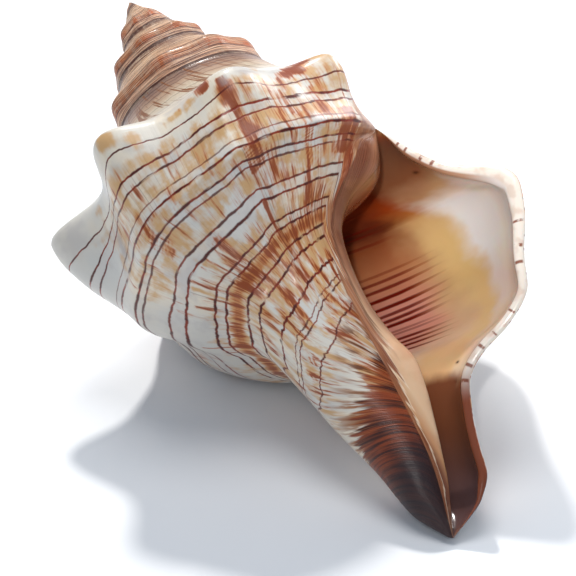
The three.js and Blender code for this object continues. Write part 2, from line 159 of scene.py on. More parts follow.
# Growth lines run straight down the whorl and then sweep back round the canal: at, turns
sweepBack = [
    (0.00, 0.0), (0.60, 0.0), (0.68, 0.006), (0.72, 0.012), (0.76, 0.022), (0.80, 0.034), (0.84, 0.058),
    (0.86, 0.08), (0.88, 0.12), (0.90, 0.19), (0.92, 0.30), (0.94, 0.44), (0.96, 0.60), (1.00, 1.0),
]

restingPose = {"axisDip": 27.5, "angleUp": 26.6, "wornFlat": 0.4}
meshSteps = {"perTurn": 240, "upper": 40, "middle": 47, "canal": 60, "lip": 10, "hollow": 90, "callus": 16}
mergeWithin = 2e-6  # metres


def curveAt(xs, ys, x):
    # a smooth curve through stations that never overshoots; ys may differ from place to place
    xs = np.asarray(xs, float)
    x = np.clip(np.asarray(x, float), xs[0], xs[-1])
    ys = np.asarray(ys, float)
    if ys.ndim == 1:
        ys = ys.reshape((-1,) + (1,) * x.ndim)
    ys = np.broadcast_to(ys, (len(xs),) + np.broadcast_shapes(ys.shape[1:], x.shape))
    x = np.broadcast_to(x, ys.shape[1:])
    steps = np.diff(xs).reshape((-1,) + (1,) * x.ndim)
    rises = np.diff(ys, axis=0) / steps
    before, after = rises[:-1], rises[1:]
    towardsBefore = 2 * steps[1:] + steps[:-1]
    towardsAfter = steps[1:] + 2 * steps[:-1]
    same = before * after > 0
    safeBefore, safeAfter = np.where(same, before, 1), np.where(same, after, 1)
    middle = (towardsBefore + towardsAfter) / (towardsBefore / safeBefore + towardsAfter / safeAfter)
    slopes = np.concatenate([rises[:1], np.where(same, middle, 0), rises[-1:]])
    i = np.clip(np.searchsorted(xs, x, side="right") - 1, 0, len(xs) - 2)

    def pick(values, k):
        return np.take_along_axis(values, k[None], 0)[0]

    step = np.diff(xs)[i]
    s = (x - xs[i]) / step
    rise = pick(slopes, i) * step * s * (1 - s) ** 2
    fall = pick(slopes, i + 1) * step * s * s * (s - 1)
    return pick(ys, i) * (1 + 2 * s) * (1 - s) ** 2 + pick(ys, i + 1) * s * s * (3 - 2 * s) + rise + fall


def stations(rows, column, x):
    return curveAt([row[0] for row in rows], [row[column] for row in rows], x)


def ease(x):
    x = np.clip(x, 0, 1)
    return x * x * (3 - 2 * x)


def partWay(share, first, second):
    return first + share * (second - first)


def bell(distance, width):
    return np.exp(-((distance / width) ** 2))


def angleOf(turn):
    return shellForm["zeroAngle"] - 360 * turn


def place(point, angle):
    # here and below a point is a pair: radius from the shell's axis, and drop from the apex
    (r, z), a = point, np.radians(angle)
    bend = stations(shellForm["axisBend"], 1, z)
    return np.stack(np.broadcast_arrays(r * np.sin(a) + bend, r * np.cos(a), z), -1)


def seamPoint(turn):
    form, rows = shellForm, shellForm["seam"]
    turns = [row[0] for row in rows]
    radius, drop = (np.exp(curveAt(turns, np.log([row[k] for row in rows]), turn)) for k in (1, 2))
    atApex = form["spireGrowth"] ** (form["apexTurn"] - turns[0])
    here = form["spireGrowth"] ** (np.minimum(turn, turns[0]) - turns[0])
    share = np.maximum((here - atApex) / (1 - atApex), 0)
    return np.stack([radius * share ** form["apexBluntness"], drop * share])


def bodyOutline(turn, at):
    turn, at = np.broadcast_arrays(np.asarray(turn, float), np.asarray(at, float))
    share = np.clip(turn - shellForm["startTurn"], 0, 1)
    rows, point = shellForm["outline"], []
    for k, seam in enumerate(seamPoint(turn), 1):
        values = np.stack([row[k] * (row[k + 2] / row[k]) ** (share ** row[k + 4]) for row in rows])
        values[0] = seam
        point.append(curveAt([row[0] for row in rows], values, at))
    return np.stack(point)


def spireOutline(turn, at):
    rows = shellForm["outline"]
    covered = next(row for row in rows if row[0] == shellForm["coveredFrom"])
    shares = np.stack([(stations(rows, k, at) - rows[0][k]) / (covered[k] - rows[0][k]) for k in (1, 2)])
    smooth, stepped = shellForm["firstSteps"]
    step = ease((turn - smooth) / (stepped - smooth))
    shares = partWay(step, at / shellForm["coveredFrom"], shares)
    return partWay(shares, seamPoint(turn), seamPoint(turn + 1))


def spireKnobs():
    # the angles of the spire's knobs: those in sight, and then evenly spaced ones
    known, spacing = shellForm["spireKnobAngles"], shellForm["spireKnobSpacing"]
    further = shellForm["spireKnobCount"] - len(known)
    return known + [known[-1] + spacing * (i + 1) for i in range(further)]


def knobRelief(turn, at):
    angle = angleOf(turn)
    form = shellForm
    upper = at < form["shoulderAt"]
    fromShoulder = at - form["shoulderAt"]
    out, up = 0, 0
    for middle, height, lift, reach, width in form["knobs"]:
        near = bell(angle - middle, width)
        out = out + height * near * bell(fromShoulder, np.where(upper, form["knobRise"], reach))
        up = up + lift * near * bell(fromShoulder, form["knobRise"])
    spireHeight = form["spireKnobShare"] * seamPoint(turn + 1)[0]
    shape = bell(fromShoulder, np.where(upper, form["knobRise"], form["spireKnobReach"]))
    for middle in spireKnobs():
        out = out + spireHeight * bell(angle - middle, form["spireKnobWidth"]) * shape
    for middle, level, depth, width, span in form["bellyHollows"]:
        out = out - depth * bell(angle - middle, width) * bell(at - level, span)
    for middle, height, before, after, first, last in form["ribs"]:
        past = turn - middle
        fade = ease((at - first) / form["ribFade"] + 0.5) * ease((last - at) / form["ribFade"] + 0.5)
        out = out + height * bell(past, np.where(past < 0, before, after)) * fade
    return out, up


def exteriorPoint(turn, at):
    turn, at = np.broadcast_arrays(np.asarray(turn, float), np.asarray(at, float))
    form = openingForm
    onSpire = turn < shellForm["startTurn"]
    covered = np.minimum(at, shellForm["coveredFrom"])
    point = np.where(onSpire, spireOutline(turn, covered), bodyOutline(turn, at))
    out, up = knobRelief(turn, at)
    pastCorner = np.where(onSpire, 0, np.clip((turn - shellForm["startTurn"]) / form["cornerFade"], 0, 1))
    awayFromCover = ease((shellForm["coveredFrom"] - at) / form["coverFade"]) * (1 - pastCorner) + pastCorner
    awayFromSeam = ease(at / form["cornerFade"])
    return point + np.stack([out * awayFromSeam * awayFromCover, -up * awayFromSeam])


def exterior(turn, at):
    return place(exteriorPoint(turn, at), angleOf(turn))


def insideWall(turn, at, thickness):
    near = 0.001
    along = bodyOutline(turn, np.minimum(at + near, 1)) - bodyOutline(turn, np.maximum(at - near, 0))
    out, down = along / np.hypot(*along) * thickness
    return bodyOutline(turn, at) + np.stack([-down, out])


def columellaWall(turn, at):
    scale = openingForm["columellaGrowth"] ** (turn - shellForm["lipTurn"])
    rows = openingForm["columella"]
    nearSeam = np.maximum(1 - at / openingForm["seamFade"], 0) ** 2
    return np.stack([
        stations(rows, k, at) * scale + (edge - rows[0][k] * scale) * nearSeam
        for k, edge in enumerate(seamPoint(turn), 1)
    ])


def rimAt(at):
    fade = openingForm["edgeFade"]
    return openingForm["rimThickness"] * ease(at / fade) * ease((1 - at) / fade)


def lipRows(at, share):
    lipTurn = shellForm["lipTurn"]
    turnIn = (1 - np.cos(np.pi * share)) / 2
    point = partWay(turnIn, exteriorPoint(lipTurn, at), insideWall(lipTurn, at, rimAt(at)))
    a = np.radians(angleOf(lipTurn))
    forward = np.array([-np.cos(a), np.sin(a), 0])
    swell = openingForm["rimSwell"] * rimAt(at) * np.sin(np.pi * share)
    return place(point, angleOf(lipTurn)) + swell[..., None] * forward


def hollowTurn(at, share):
    return shellForm["lipTurn"] - np.sin(np.pi * share) * stations(openingForm["reach"], 1, at) / 360


def hollowRows(at, share):
    form = openingForm
    turn = hollowTurn(at, share)
    depth = ease((shellForm["lipTurn"] - turn) * 360 / form["wallThickensOver"])
    thickness = rimAt(at) * (1 - depth) + form["wallThickness"] * depth * ease((1 - at) / form["edgeFade"])
    across = np.cos(np.pi * share)
    outShare = (1 + np.sign(across) * np.abs(across) ** form["roundness"]) / 2
    point = partWay(outShare, columellaWall(turn, at), insideWall(turn, at, thickness))
    point[1] += form["ceilingDrop"] * depth * np.maximum(1 - at / form["ceilingReach"], 0)
    return place(point, angleOf(turn))


def callusTurn(at):
    return (shellForm["zeroAngle"] - stations(openingForm["callusEdge"], 1, at)) / 360


def callusRows(at, bodyAt, share):
    form, lipTurn, turn = openingForm, shellForm["lipTurn"], callusTurn(bodyAt)
    point = partWay(share, columellaWall(lipTurn, at), exteriorPoint(turn, bodyAt))
    fade = ease(at / form["coverFade"]) * ease((1 - at) / form["coverFade"])
    point[0] += form["callusSwell"] * np.sin(np.pi * share ** form["callusFullest"]) * fade
    return place(point, partWay(share, angleOf(lipTurn) + 360, angleOf(turn)))


def shellSheets():
    # three grids of points: the spire, the last whorl, and the lip, hollow and callus
    steps, form = meshSteps, shellForm
    upper, middle = steps["upper"], steps["middle"]
    columns = np.concatenate([
        np.linspace(0, form["coveredFrom"], upper, endpoint=False),
        np.linspace(form["coveredFrom"], form["bodyBends"], middle, endpoint=False),
        np.linspace(form["bodyBends"], 1, steps["canal"] + 1),
    ])
    last = len(columns) - 1
    perTurn = steps["perTurn"]

    firstTurn = form["apexTurn"] - 1
    spireTurns = firstTurn + np.arange(round((form["startTurn"] - firstTurn) * perTurn) + 1) / perTurn
    spireTurn, spireAt = np.meshgrid(spireTurns, columns[:upper + 1], indexing="ij")
    spire = exterior(spireTurn, spireAt)
    for i in range(perTurn, len(spire)):
        spire[i, 0] = spire[i - perTurn, upper]

    starts = np.where(np.arange(last + 1) <= upper, form["startTurn"], callusTurn(columns))
    along = np.arange(perTurn + 1)[:, None] / perTurn
    bodyTurn = partWay(along, starts, form["lipTurn"])
    bodyAt = np.broadcast_to(columns, bodyTurn.shape)
    body = exterior(bodyTurn, bodyAt)
    tip, corner = body[0, last].copy(), spire[-1, upper].copy()
    body[:, 0] = spire[-1 - perTurn:, upper]
    body[:, last] = tip
    body[-1, 0] = corner
    body[0, :upper + 1] = spire[-1]

    index = np.arange(last + 1)
    meeting = np.where(
        index <= middle,
        upper + index,
        upper + middle + (index - middle) * (last - upper - middle) / (last - middle),
    )
    across, meetingAt = columns[None], np.interp(meeting, index, columns)[None]
    lipShare = np.arange(1, steps["lip"] + 1)[:, None] / steps["lip"]
    hollowShare = np.arange(1, steps["hollow"] + 1)[:, None] / steps["hollow"]
    callusShare = np.arange(1, steps["callus"])[:, None] / steps["callus"]
    nearest = np.round(meeting).astype(int)
    opening = np.concatenate([
        body[-1:],
        lipRows(across, lipShare),
        hollowRows(across, hollowShare),
        callusRows(across, meetingAt, callusShare),
        body[:1, nearest],
    ])
    opening[:, 0], opening[:, last] = corner, tip
    onLip = np.full((1, last + 1), form["lipTurn"])
    atEdge = callusTurn(meetingAt)
    openingTurn = np.concatenate([
        onLip,
        np.broadcast_to(onLip, (steps["lip"], last + 1)),
        hollowTurn(across, hollowShare),
        onLip - 1 + (atEdge - onLip + 1) * callusShare,
        atEdge,
    ])
    openingAt = np.concatenate([
        np.broadcast_to(columns, (1 + steps["lip"] + steps["hollow"], last + 1)),
        partWay(callusShare, columns, meetingAt),
        meetingAt,
    ])
    fold = np.concatenate([[[0]], lipShare, 1 + hollowShare, 2 + callusShare, [[3]]])
    openingFold = np.broadcast_to(fold, openingTurn.shape)
    return [
        (spire, spireTurn, spireAt, np.zeros(spireTurn.shape)),
        (body, bodyTurn, bodyAt, np.zeros(bodyTurn.shape)),
        (opening, openingTurn, openingAt, openingFold),
    ]


def restingTurn():
    dip, up = math.radians(restingPose["axisDip"]), math.radians(restingPose["angleUp"])
    zAxis = np.array([math.cos(dip) * math.sin(up), math.cos(dip) * math.cos(up), -math.sin(dip)])
    towardsApex = np.array([0, 0, -1.0])
    yAxis = towardsApex - towardsApex @ zAxis * zAxis
    yAxis /= np.linalg.norm(yAxis)
    return np.stack([np.cross(yAxis, zAxis), yAxis, zAxis])


def lieDown(sheets):
    # to the floor, in metres, with the three points that touch it worn flat
    turned = [sheet[0] @ restingTurn().T for sheet in sheets]
    every = np.concatenate([points.reshape(-1, 3) for points in turned])
    low, high = every.min(0), every.max(0)
    floor = low[2] + restingPose["wornFlat"]
    middle = np.array([(low[0] + high[0]) / 2, (low[1] + high[1]) / 2, floor])
    for points in turned:
        points[..., 2] = np.maximum(points[..., 2], floor)
    return [((points - middle) / 1000, *sheet[1:]) for points, sheet in zip(turned, sheets)]


# The turns at which the course of the dark spiral lines is given
lineTurns = [
    0.03, 0.06, 0.09, 0.12, 0.15, 0.17, 0.18, 0.2, 0.22, 0.25, 0.28, 0.31, 0.34, 0.37, 0.4, 0.43, 0.46,
]
# Each line's even place, half width in millimetres and strength, and then where it crosses the
# whorl at each of those turns, in ten-thousandths
linePaths = [
    (0.243, 0.17, 0.95,
     2531, 2400, 2515, 2509, 2401, 2418, 2420, 2381, 2334, 2362, 2366, 2480, 2400, 2385, 2465, 2500, 2450),
    (0.286, 0.24, 1,
     3062, 2917, 2949, 2959, 2917, 2906, 2895, 2781, 2750, 2757, 2792, 2831, 2558, 2620, 2811, 2880, 2860),
    (0.309, 0.22, 0.95,
     3308, 3237, 3299, 3207, 3179, 3181, 3172, 3081, 3028, 2981, 2996, 3035, 2797, 2821, 2992, 3080, 3090),
    (0.361, 0.16, 0.7,
     3816, 3803, 3766, 3739, 3681, 3690, 3677, 3660, 3583, 3468, 3443, 3498, 3442, 3375, 3420, 3450, 3500),
    (0.387, 0.24, 1,
     4136, 4108, 4176, 4045, 3948, 3949, 3937, 3937, 3859, 3730, 3687, 3774, 3765, 3717, 3627, 3574, 3529),
    (0.436, 0.24, 1,
     4555, 4585, 4633, 4535, 4454, 4446, 4447, 4481, 4421, 4290, 4250, 4353, 4342, 4307, 4206, 4143, 4143),
    (0.459, 0.2, 0.9,
     4737, 4794, 4834, 4764, 4679, 4662, 4663, 4700, 4655, 4535, 4487, 4557, 4533, 4498, 4418, 4324, 4324),
    (0.523, 0.23, 0.95,
     5306, 5328, 5368, 5350, 5301, 5279, 5268, 5303, 5294, 5241, 5210, 5176, 5175, 5185, 5086, 5029, 4844),
    (0.553, 0.26, 1,
     5578, 5606, 5649, 5628, 5572, 5558, 5542, 5604, 5602, 5535, 5509, 5485, 5471, 5471, 5483, 5397, 5274),
    (0.615, 0.24, 1,
     6120, 6157, 6193, 6192, 6161, 6163, 6175, 6247, 6242, 6182, 6183, 6151, 6116, 6123, 6137, 6086, 6042),
    (0.64, 0.24, 1,
     6343, 6395, 6414, 6419, 6391, 6391, 6414, 6497, 6472, 6422, 6417, 6408, 6374, 6375, 6384, 6354, 6315),
    (0.69, 0.24, 1,
     6797, 6851, 6870, 6875, 6852, 6876, 6953, 6981, 6954, 6911, 6909, 6930, 6920, 6890, 6930, 6907, 6908),
    (0.72, 0.24, 1,
     7131, 7135, 7153, 7163, 7146, 7181, 7227, 7242, 7236, 7206, 7204, 7221, 7224, 7220, 7266, 7279, 7314),
    (0.764, 0.27, 1,
     7583, 7592, 7596, 7616, 7607, 7627, 7654, 7670, 7666, 7667, 7628, 7631, 7654, 7713, 7736, 7601, 7601),
    (0.792, 0.18, 0.8,
     7870, 7865, 7883, 7887, 7886, 7927, 7928, 7973, 7969, 7958, 7892, 7924, 7983, 8036, 8011, 8011, 8011),
    (0.804, 0.2, 0.9,
     7980, 7975, 7993, 7997, 7996, 8037, 8038, 8083, 8079, 8068, 8002, 8034, 8093, 8146, 8121, 8121, 8121),
    (0.853, 0.22, 0.9,
     8456, 8458, 8484, 8470, 8486, 8519, 8559, 8568, 8560, 8526, 8535, 8565, 8628, 8606, 8579, 8450, 8450),
]


def lineAtOf(turn, at):
    # "at" pulled so that every spiral line lies at its own even place
    paths = [(place, np.interp(turn, lineTurns, np.array(path) / 10000)) for place, _, _, *path in linePaths]
    places = [0, *(place for place, _ in paths), 1]
    pull = np.stack([np.zeros(turn.shape), *(place - path for place, path in paths), np.zeros(turn.shape)])
    # no pull on the spire, nor on the side that lies down
    pull = pull * ease((turn + 0.02) / 0.04) * ease((0.62 - turn) / 0.15)
    pulled = at
    for _ in range(3):
        pulled = at + curveAt(places, pull, pulled)
    return pulled


# Stains on the last whorl, in thousandths: growth turn, at, half width in turns, half height, strength
stains = {
    "ochre": [
        (35, 200, 30, 50, 700), (120, 190, 20, 20, 550), (200, 200, 20, 20, 600), (370, 220, 10, 30, 500),
        (55, 340, 14, 70, 750), (55, 490, 12, 30, 600), (98, 470, 10, 100, 600), (120, 350, 20, 50, 600),
        (140, 500, 10, 50, 600), (140, 340, 14, 90, 700), (150, 420, 12, 30, 600), (215, 340, 10, 60, 650),
        (235, 330, 9, 60, 600), (258, 330, 10, 60, 650), (275, 420, 10, 30, 600), (300, 340, 10, 70, 700),
        (330, 360, 10, 60, 600), (225, 205, 20, 14, 700), (265, 225, 10, 20, 600), (286, 212, 12, 20, 750),
        (470, 260, 12, 60, 650), (530, 240, 14, 50, 700), (600, 270, 12, 60, 650), (660, 250, 14, 60, 700),
        (500, 175, 10, 35, 650), (565, 180, 12, 30, 600), (630, 170, 10, 35, 650), (700, 180, 12, 30, 600),
        (770, 170, 10, 35, 650), (840, 180, 12, 30, 600), (910, 170, 10, 35, 650), (730, 260, 12, 60, 650),
        (790, 240, 14, 50, 700), (860, 270, 12, 60, 650), (930, 250, 14, 60, 700), (60, 665, 14, 22, 800),
        (90, 665, 12, 22, 850), (120, 665, 18, 22, 900), (150, 665, 12, 22, 800), (185, 665, 10, 20, 600),
        (230, 665, 18, 22, 650), (300, 665, 20, 22, 600), (335, 665, 14, 22, 650), (390, 665, 20, 22, 600),
        (110, 585, 12, 30, 650), (250, 585, 10, 40, 650), (290, 600, 10, 50, 600), (335, 600, 8, 50, 550),
        (105, 745, 20, 20, 650), (165, 745, 20, 20, 600), (240, 745, 14, 20, 650), (60, 745, 15, 20, 600),
        (100, 830, 20, 20, 550), (200, 830, 20, 20, 500), (300, 830, 20, 20, 500),
    ],
    "rust": [
        (160, 350, 9, 125, 950), (170, 440, 6, 50, 700), (163, 225, 10, 20, 750), (58, 330, 7, 70, 750),
        (45, 280, 8, 40, 600), (94, 440, 6, 220, 720), (104, 310, 6, 50, 700), (80, 500, 6, 50, 550),
        (100, 620, 6, 90, 700), (128, 640, 6, 80, 600), (72, 620, 6, 80, 600), (142, 600, 6, 60, 600),
        (176, 630, 6, 80, 750), (160, 680, 8, 50, 600), (256, 660, 6, 130, 850), (262, 580, 5, 50, 700),
        (272, 630, 5, 100, 600), (286, 640, 5, 100, 700), (298, 640, 5, 90, 700), (323, 630, 5, 90, 650),
        (345, 620, 5, 70, 600), (367, 620, 5, 60, 500), (385, 560, 5, 40, 550), (304, 460, 7, 40, 800),
        (300, 385, 6, 50, 650), (286, 340, 6, 50, 600), (318, 380, 5, 30, 600), (330, 345, 6, 30, 600),
        (262, 385, 6, 40, 600), (225, 730, 6, 30, 500), (250, 770, 10, 35, 750), (235, 800, 8, 25, 600),
        (165, 790, 6, 40, 600), (150, 790, 5, 40, 550), (90, 770, 8, 30, 650), (115, 770, 8, 30, 500),
        (140, 830, 4, 20, 550), (155, 835, 4, 20, 550), (166, 830, 4, 20, 500), (345, 835, 6, 14, 750),
        (390, 840, 8, 14, 600), (58, 195, 20, 26, 1000), (80, 215, 14, 18, 900), (44, 165, 14, 22, 850),
        (180, 180, 12, 35, 900), (30, 430, 18, 80, 1000), (20, 500, 14, 50, 800), (162, 250, 16, 30, 900),
        (215, 195, 10, 10, 500), (50, 500, 6, 30, 500), (455, 640, 4, 90, 750), (495, 250, 8, 50, 700),
        (570, 230, 7, 50, 700), (630, 270, 8, 60, 700), (700, 250, 8, 50, 700), (520, 185, 6, 30, 650),
        (650, 180, 6, 30, 650), (790, 185, 6, 30, 650), (930, 180, 6, 30, 650), (760, 230, 7, 50, 700),
        (830, 260, 8, 60, 700), (900, 240, 8, 50, 700), (970, 260, 8, 60, 700),
    ],
    "grey": [
        (160, 222, 10, 18, 750), (130, 215, 22, 12, 500), (292, 245, 8, 20, 600), (320, 300, 20, 50, 500),
        (355, 300, 12, 60, 450), (205, 243, 3, 6, 900), (80, 330, 8, 100, 300),
    ],
}


def stainOf(rows, growth, at, ground):
    shows, soft = ground, 0.02
    for middle, level, halfTurns, halfAt, strength in np.array(rows) / 1000:
        inTurn = bell(growth - middle, halfTurns)
        down = np.clip((halfAt - np.abs(at - level)) / soft + 0.5, 0, 1)
        shows = np.maximum(shows, strength * inTurn * ease(down))
    return shows


def stainsOf(turn, at, growth):
    # a ground of streaks, strongest beside the mouth and low on the base; each ease fades it in
    # or out over the stretch that it divides by
    below = ease((at - 0.19) / 0.05)
    lowTone = 0.42 + 0.16 * ease((0.36 - turn) / 0.1) * ease((0.80 - at) / 0.06)
    low = ease((at - 0.52) / 0.10) * ease((0.905 - at) / 0.03) * lowTone
    # a belt of streaks low on the whorl, made stronger so that it also carries painted shade there
    streaksAndShadeBelt = bell(at - 0.665, 0.026) * 0.85
    nearMouth = ease((0.19 - turn) / 0.02) * 0.50
    middle = ease((at - 0.22) / 0.05) * ease((0.60 - at) / 0.1) * ease((0.44 - turn) / 0.10) * 0.54
    unseen = ease((turn - 0.46) / 0.08) * 0.40
    grounds, rustShares = [low, streaksAndShadeBelt, nearMouth, middle, unseen], (0.84, 0.88, 0.88, 0.68, 0.8)
    ochre = np.maximum.reduce(grounds) * below
    rust = np.maximum.reduce([ground * share for ground, share in zip(grounds, rustShares)]) * below
    pale = ease((turn - 0.38) / 0.03) * ease((0.50 - turn) / 0.04) * ease((0.62 - at) / 0.06)
    ochre, rust = ochre * (1 - 0.7 * pale), rust * (1 - 0.85 * pale)
    return {
        "ochre": stainOf(stains["ochre"], growth, at, ochre),
        "rust": stainOf(stains["rust"], growth, at, rust),
        "grey": stainOf(stains["grey"], growth, at, 0 * at),
    }


def knobOf(turn, at):
    crest, halfHeight = 0.265, 0.05
    near = sum(bell(angleOf(turn) - middle, shellForm["spireKnobWidth"]) for middle in spireKnobs())
    return near * bell(at - crest, halfHeight)


def newGrid(name, columns, rows, size):
    sheet = bmesh.new()
    bmesh.ops.create_grid(sheet, x_segments=columns, y_segments=rows, size=size)
    mesh = bpy.data.meshes.new(name)
    sheet.to_mesh(mesh)
    sheet.free()
    return mesh


def newObject(name, data):
    made = bpy.data.objects.new(name, data)
    bpy.context.collection.objects.link(made)
    return made


def layGrid(points, turn, at, fold):
    rows, columns = turn.shape
    mesh = newGrid("shellSheet", columns - 1, rows - 1, 1)
    flat = np.empty(len(mesh.vertices) * 3)
    mesh.vertices.foreach_get("co", flat)
    flat = flat.reshape(-1, 3)
    i = np.rint((flat[:, 1] + 1) / 2 * (rows - 1)).astype(int)
    j = np.rint((flat[:, 0] + 1) / 2 * (columns - 1)).astype(int)
    mesh.vertices.foreach_set("co", points[i, j].ravel())
    corner = np.empty(len(mesh.loops), dtype=np.int32)
    mesh.loops.foreach_get("vertex_index", corner)
    ci, cj = i[corner], j[corner]
    whorl = mesh.uv_layers.new(name="whorl")
    whorl.data.foreach_set("uv", np.stack([turn[ci, cj], at[ci, cj]], -1).ravel())
    near = 0.002
    above, below = np.maximum(at - near, 0), np.minimum(at + near, 1)
    span = np.linalg.norm(exterior(turn, below) - exterior(turn, above), axis=-1) / (below - above)
    growth = turn + stations(sweepBack, 1, at)
    facts = {
        "growth": growth, "acrossMm": span, "fold": fold, "lineAt": lineAtOf(turn, at),
        "knob": knobOf(turn, at), **stainsOf(turn, at, growth),
    }
    for name, values in facts.items():
        layer = mesh.attributes.new(name, "FLOAT", "CORNER")
        layer.data.foreach_set("value", values[ci, cj].astype(np.float32))
    return mesh


def makeShell():
    joined = bmesh.new()
    for sheet in lieDown(shellSheets()):
        mesh = layGrid(*sheet)
        joined.from_mesh(mesh)
        bpy.data.meshes.remove(mesh)
    bmesh.ops.remove_doubles(joined, verts=joined.verts, dist=mergeWithin)
    bmesh.ops.recalc_face_normals(joined, faces=joined.faces)
    if joined.calc_volume(signed=True) < 0:
        bmesh.ops.reverse_faces(joined, faces=joined.faces)
    for face in joined.faces:
        face.smooth = True
    openEdges = sum(1 for edge in joined.edges if not edge.is_manifold)
    mesh = bpy.data.meshes.new("conchShell")
    joined.to_mesh(mesh)
    triangles = sum(len(face.verts) - 2 for face in joined.faces)
    print("shell:", triangles, "triangles,", openEdges, "open edges, volume", joined.calc_volume())
    joined.free()
    return newObject("conchShell", mesh)


# The node tree that the functions below add their nodes to
drawing = {"tree": None}


class Output:
    # what comes out of a node; sums and products of outputs add the nodes that work them out
    def __init__(self, node, which=0):
        self.socket = node.outputs[which]

    def __add__(self, other):
        return calc("ADD", self, other)

    def __sub__(self, other):
        return calc("SUBTRACT", self, other)

    def __rsub__(self, other):
        return calc("SUBTRACT", other, self)

    def __mul__(self, other):
        return calc("MULTIPLY", self, other)

    def __truediv__(self, other):
        return calc("DIVIDE", self, other)


def colourOf(paint):
    # three levels of 0 to 255 as seen on a screen, or one plain grey, as the renderer's colour
    if not isinstance(paint, tuple):
        return (paint, paint, paint, 1)
    levels = [level / 255 for level in paint]
    return (*(v / 12.92 if v <= 0.04045 else ((v + 0.055) / 1.055) ** 2.4 for v in levels), 1)


def join(socket, value):
    if isinstance(value, Output):
        drawing["tree"].links.new(value.socket, socket)
    else:
        socket.default_value = colourOf(value) if isinstance(value, tuple) else value


def addNode(kind, inputs, **settings):
    node = drawing["tree"].nodes.new(kind)
    for name, setting in settings.items():
        setattr(node, name, setting)
    for name, value in inputs.items():
        join(node.inputs[name], value)
    return node


def calc(operation, first, second=0):
    return Output(addNode("ShaderNodeMath", {0: first, 1: second}, operation=operation))


def most(*values):
    top = values[0]
    for value in values[1:]:
        top = calc("MAXIMUM", top, value)
    return top


def between(value, low, high, toLow=0, toHigh=1, kind="SMOOTHSTEP"):
    ends = {"Value": value, "From Min": low, "From Max": high, "To Min": toLow, "To Max": toHigh}
    return Output(addNode("ShaderNodeMapRange", ends, interpolation_type=kind))


def band(value, start, full, fullEnd, end):
    # 0 before start, 1 from full to fullEnd, 0 after end
    return between(value, start, full) * between(value, fullEnd, end, 1, 0)


def blend(share, first, second):
    return Output(addNode("ShaderNodeMix", {6: first, 7: second, 0: share}, data_type="RGBA"), 2)


def layers(paint, *coats):
    # coats of paint over one another, each with how much of it covers
    for share, coat in coats:
        paint = blend(share, paint, coat)
    return paint


def stops(value, paints):
    node = addNode("ShaderNodeValToRGB", {0: value})
    elements = node.color_ramp.elements
    for place, _ in paints[:-2]:
        elements.new(place)
    for element, (place, _) in zip(elements, paints):
        element.position = place
    for element, (_, paint) in zip(elements, paints):
        element.color = colourOf(paint)
    return Output(node)


def noise(where, scale, detail, roughness=0.5):
    inputs = {"Vector": where, "Scale": scale, "Detail": detail, "Roughness": roughness}
    return Output(addNode("ShaderNodeTexNoise", inputs))


def noiseAt(x, y, z, detail, roughness=0.5):
    return noise(Output(addNode("ShaderNodeCombineXYZ", {0: x, 1: y, 2: z})), 1, detail, roughness)


def attribute(name):
    return Output(addNode("ShaderNodeAttribute", {}, attribute_name=name), "Fac")


def beginGroup(name, inputs):
    tree = drawing["tree"] = bpy.data.node_groups.new(name, "ShaderNodeTree")
    for label, value in inputs.items():
        socket = tree.interface.new_socket(name=label, in_out="INPUT", socket_type="NodeSocketFloat")
        socket.default_value = value
    node = tree.nodes.new("NodeGroupInput")
    return [Output(node, label) for label in inputs]


def endGroup(name, value):
    tree = drawing["tree"]
    tree.interface.new_socket(name=name, in_out="OUTPUT", socket_type="NodeSocketFloat")
    join(tree.nodes.new("NodeGroupOutput").inputs[0], value)
    return tree


def useGroup(group, **inputs):
    return Output(addNode("ShaderNodeGroup", inputs, node_tree=group))


# One dark spiral line: how much of it shows where the surface is "at" across the whorl
def spiralLineGroup():
    inputs = {"at": 0, "acrossMm": 100, "place": 0, "halfWidth": 0.15, "strength": 1}
    at, acrossMm, place, halfWidth, strength = beginGroup("spiralLine", inputs)
    offMm = calc("ABSOLUTE", at - place) * acrossMm
    return endGroup("shows", between(offMm, halfWidth * 0.5, halfWidth * 1.5, 1, 0) * strength)


# A soft spot round one place on the whorl
def spotGroup():
    inputs = {
        "turn": 0, "at": 0, "middleTurn": 0, "middleAt": 0, "halfTurns": 0.02, "halfAt": 0.02, "strength": 1,
    }
    turn, at, middleTurn, middleAt, halfTurns, halfAt, strength = beginGroup("spot", inputs)
    across, down = (turn - middleTurn) / halfTurns, (at - middleAt) / halfAt
    return endGroup("shows", calc("EXPONENT", (across * across + down * down) * -1) * strength)


# Grain drawn out along the growth lines
def grainGroup():
    inputs = {"growth": 0, "at": 0, "perTurn": 40, "perWhorl": 6, "seed": 0}
    growth, at, perTurn, perWhorl, seed = beginGroup("growthGrain", inputs)
    return endGroup("height", noiseAt(growth * perTurn, at * perWhorl, seed, 3, 0.55))


# Turns a smooth stain into patches with clear edges: the stronger it is, the more grain it takes
def patchGroup():
    stain, height, soft = beginGroup("stainPatches", {"stain": 0, "grain": 0.5, "soft": 0.06})
    threshold = between(stain, 0, 1, 0.76, 0.26, "LINEAR")
    return endGroup("shows", between(height, threshold - soft, threshold + soft))


spiralLine, spot, grain, patches = spiralLineGroup(), spotGroup(), grainGroup(), patchGroup()


def linesOf(at, acrossMm, rows, widen=1):
    return most(*[
        useGroup(spiralLine, at=at, acrossMm=acrossMm, place=place, halfWidth=widen * half, strength=strength)
        for place, half, strength in rows
    ])


def spotsOf(turn, at, rows):
    names = ("middleTurn", "middleAt", "halfTurns", "halfAt", "strength")
    return most(*[useGroup(spot, turn=turn, at=at, **dict(zip(names, row))) for row in rows])


def grainOf(growth, at, perTurn, perWhorl, seed):
    return useGroup(grain, growth=growth, at=at, perTurn=perTurn, perWhorl=perWhorl, seed=seed)


